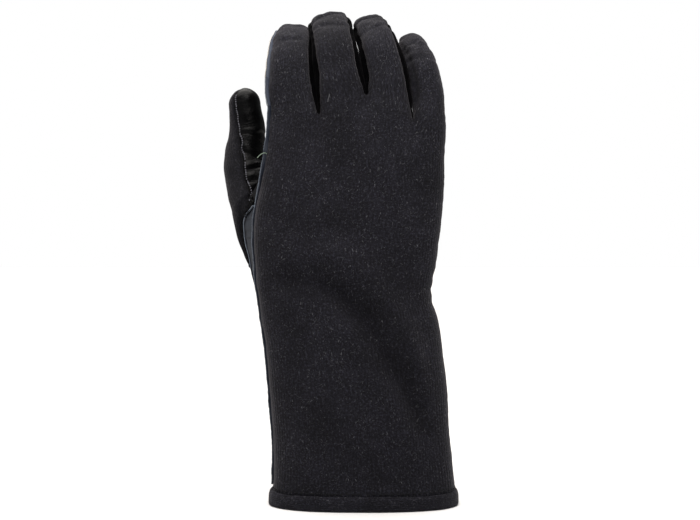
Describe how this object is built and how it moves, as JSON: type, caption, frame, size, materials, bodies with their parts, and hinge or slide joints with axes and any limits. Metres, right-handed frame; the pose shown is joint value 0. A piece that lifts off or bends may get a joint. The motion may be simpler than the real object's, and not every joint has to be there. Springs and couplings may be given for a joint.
{
  "type": "heat resistant glove",
  "caption": "Right-hand heat resistant glove with a knitted back, leather palm and thumb pad, curled finger stalls and a long gauntlet cuff that stands open.",
  "frame": {"origin": "middle of the cuff's mouth, on the plane of the hem that the glove stands on", "axes": "+Z from the cuff's mouth to the fingertips, -Y out of the back of the hand, -X the thumb side"},
  "size_m": [0.1394, 0.0753, 0.2916],
  "materials": {
    "knit": "charcoal heather knit with a short brushed nap",
    "palm_leather": "smooth black grain leather with a soft gloss",
    "gore_leather": "grey-blue leather, matt",
    "edge_leather": "raw cut edge of blue-grey leather",
    "thread": "black sewing thread",
    "elastic": "black woven elastic tape"
  },
  "bodies": {
    "cuff": {"cuff_back": "knit", "cuff_palm": "knit", "hem_band": "knit", "hem_thread": "thread", "palm_heel": "palm_leather", "side_seam_edge_cuff": "edge_leather"},
    "hand": {"fork_gusset_index_middle": "knit", "fork_gusset_middle_ring": "knit", "fork_gusset_ring_little": "knit", "hand_back": "knit", "palm": "palm_leather", "side_seam_edge_hand": "edge_leather", "thumb_gore": "gore_leather", "thumb_root_back": "knit", "thumb_root_pad": "palm_leather", "wrist_elastic": "elastic"},
    "index_lower": {"index_lower_back": "knit", "index_lower_little_side": "knit", "index_lower_palm": "palm_leather", "side_seam_edge_index_lower": "edge_leather"},
    "index_middle": {"index_middle_back": "knit", "index_middle_little_side": "knit", "index_middle_palm": "palm_leather", "side_seam_edge_index_middle": "edge_leather"},
    "index_tip": {"index_tip_back": "knit", "index_tip_palm": "palm_leather", "side_seam_edge_index_tip": "edge_leather"},
    "middle_lower": {"middle_lower_back": "knit", "middle_lower_little_side": "knit", "middle_lower_palm": "palm_leather", "middle_lower_thumb_side": "knit"},
    "middle_middle": {"middle_middle_back": "knit", "middle_middle_little_side": "knit", "middle_middle_palm": "palm_leather", "middle_middle_thumb_side": "knit"},
    "middle_tip": {"middle_tip_back": "knit", "middle_tip_palm": "palm_leather"},
    "ring_lower": {"ring_lower_back": "knit", "ring_lower_little_side": "knit", "ring_lower_palm": "palm_leather", "ring_lower_thumb_side": "knit"},
    "ring_middle": {"ring_middle_back": "knit", "ring_middle_little_side": "knit", "ring_middle_palm": "palm_leather", "ring_middle_thumb_side": "knit"},
    "ring_tip": {"ring_tip_back": "knit", "ring_tip_palm": "palm_leather"},
    "little_lower": {"little_lower_back": "knit", "little_lower_palm": "palm_leather", "little_lower_thumb_side": "knit"},
    "little_middle": {"little_middle_back": "knit", "little_middle_palm": "palm_leather", "little_middle_thumb_side": "knit"},
    "little_tip": {"little_tip_back": "knit", "little_tip_palm": "palm_leather"},
    "thumb_lower": {"thumb_lower_back": "knit", "thumb_lower_pad": "palm_leather"},
    "thumb_tip": {"thumb_tip_back": "knit", "thumb_tip_pad": "palm_leather"}
  },
  "joints": [
    {"name": "wrist_bend", "type": "hinge", "parent": "cuff", "child": "hand", "pos_m": [-0.01, 0.0005, 0.116], "axis": [-1, 0, 0], "range_deg": [-30, 40], "stiffness_Nm_per_rad": 0.6},
    {"name": "index_base_bend", "type": "hinge", "parent": "hand", "child": "index_lower", "pos_m": [-0.04145, 0.00188, 0.2348], "axis": [-0.9986, 0, -0.0523], "range_deg": [-15, 45], "stiffness_Nm_per_rad": 0.05},
    {"name": "index_middle_bend", "type": "hinge", "parent": "index_lower", "child": "index_middle", "pos_m": [-0.04254, 0.00877, 0.25561], "axis": [-0.9986, 0, -0.0523], "range_deg": [-28, 45], "stiffness_Nm_per_rad": 0.03},
    {"name": "index_tip_bend", "type": "hinge", "parent": "index_middle", "child": "index_tip", "pos_m": [-0.04323, 0.0223, 0.26874], "axis": [-0.9986, 0, -0.0523], "range_deg": [-16.8, 27]},
    {"name": "middle_base_bend", "type": "hinge", "parent": "hand", "child": "middle_lower", "pos_m": [-0.01167, 0.00038, 0.24276], "axis": [-0.9903, 0, -0.1392], "range_deg": [-15, 45], "stiffness_Nm_per_rad": 0.05},
    {"name": "middle_middle_bend", "type": "hinge", "parent": "middle_lower", "child": "middle_middle", "pos_m": [-0.0147, 0.00754, 0.26435], "axis": [-0.9903, 0, -0.1392], "range_deg": [-28, 45], "stiffness_Nm_per_rad": 0.03},
    {"name": "middle_tip_bend", "type": "hinge", "parent": "middle_middle", "child": "middle_tip", "pos_m": [-0.01663, 0.02179, 0.27805], "axis": [-0.9903, 0, -0.1392], "range_deg": [-16.8, 27]},
    {"name": "ring_base_bend", "type": "hinge", "parent": "hand", "child": "ring_lower", "pos_m": [0.01594, 0.00088, 0.24271], "axis": [-0.9799, 0, -0.1994], "range_deg": [-15, 45], "stiffness_Nm_per_rad": 0.045},
    {"name": "ring_middle_bend", "type": "hinge", "parent": "ring_lower", "child": "ring_middle", "pos_m": [0.01179, 0.00777, 0.26313], "axis": [-0.9799, 0, -0.1994], "range_deg": [-28, 45], "stiffness_Nm_per_rad": 0.027},
    {"name": "ring_tip_bend", "type": "hinge", "parent": "ring_middle", "child": "ring_tip", "pos_m": [0.00903, 0.02202, 0.27669], "axis": [-0.9799, 0, -0.1994], "range_deg": [-16.8, 27]},
    {"name": "little_base_bend", "type": "hinge", "parent": "hand", "child": "little_lower", "pos_m": [0.03945, 0.00254, 0.22782], "axis": [-0.9848, 0, -0.1736], "range_deg": [-15, 45], "stiffness_Nm_per_rad": 0.03},
    {"name": "little_middle_bend", "type": "hinge", "parent": "little_lower", "child": "little_middle", "pos_m": [0.03541, 0.00826, 0.25073], "axis": [-0.9848, 0, -0.1736], "range_deg": [-28, 45], "stiffness_Nm_per_rad": 0.018},
    {"name": "little_tip_bend", "type": "hinge", "parent": "little_middle", "child": "little_tip", "pos_m": [0.03309, 0.01862, 0.26388], "axis": [-0.9848, 0, -0.1736], "range_deg": [-16.8, 27]},
    {"name": "thumb_swing", "type": "hinge", "parent": "hand", "child": "thumb_lower", "pos_m": [-0.0635, 0.0235, 0.181], "axis": [-0.3312, -0.9436, 0], "range_deg": [-4, 25], "stiffness_Nm_per_rad": 0.05},
    {"name": "thumb_tip_bend", "type": "hinge", "parent": "thumb_lower", "child": "thumb_tip", "pos_m": [-0.07027, 0.0334, 0.21611], "axis": [0.3278, 0.9339, -0.1428], "range_deg": [-15, 15], "stiffness_Nm_per_rad": 0.03}
  ],
  "couplings": [
    {"joint": "index_tip_bend", "follows": "index_middle_bend", "ratio": 0.6},
    {"joint": "middle_tip_bend", "follows": "middle_middle_bend", "ratio": 0.6},
    {"joint": "ring_tip_bend", "follows": "ring_middle_bend", "ratio": 0.6},
    {"joint": "little_tip_bend", "follows": "little_middle_bend", "ratio": 0.6}
  ]
}
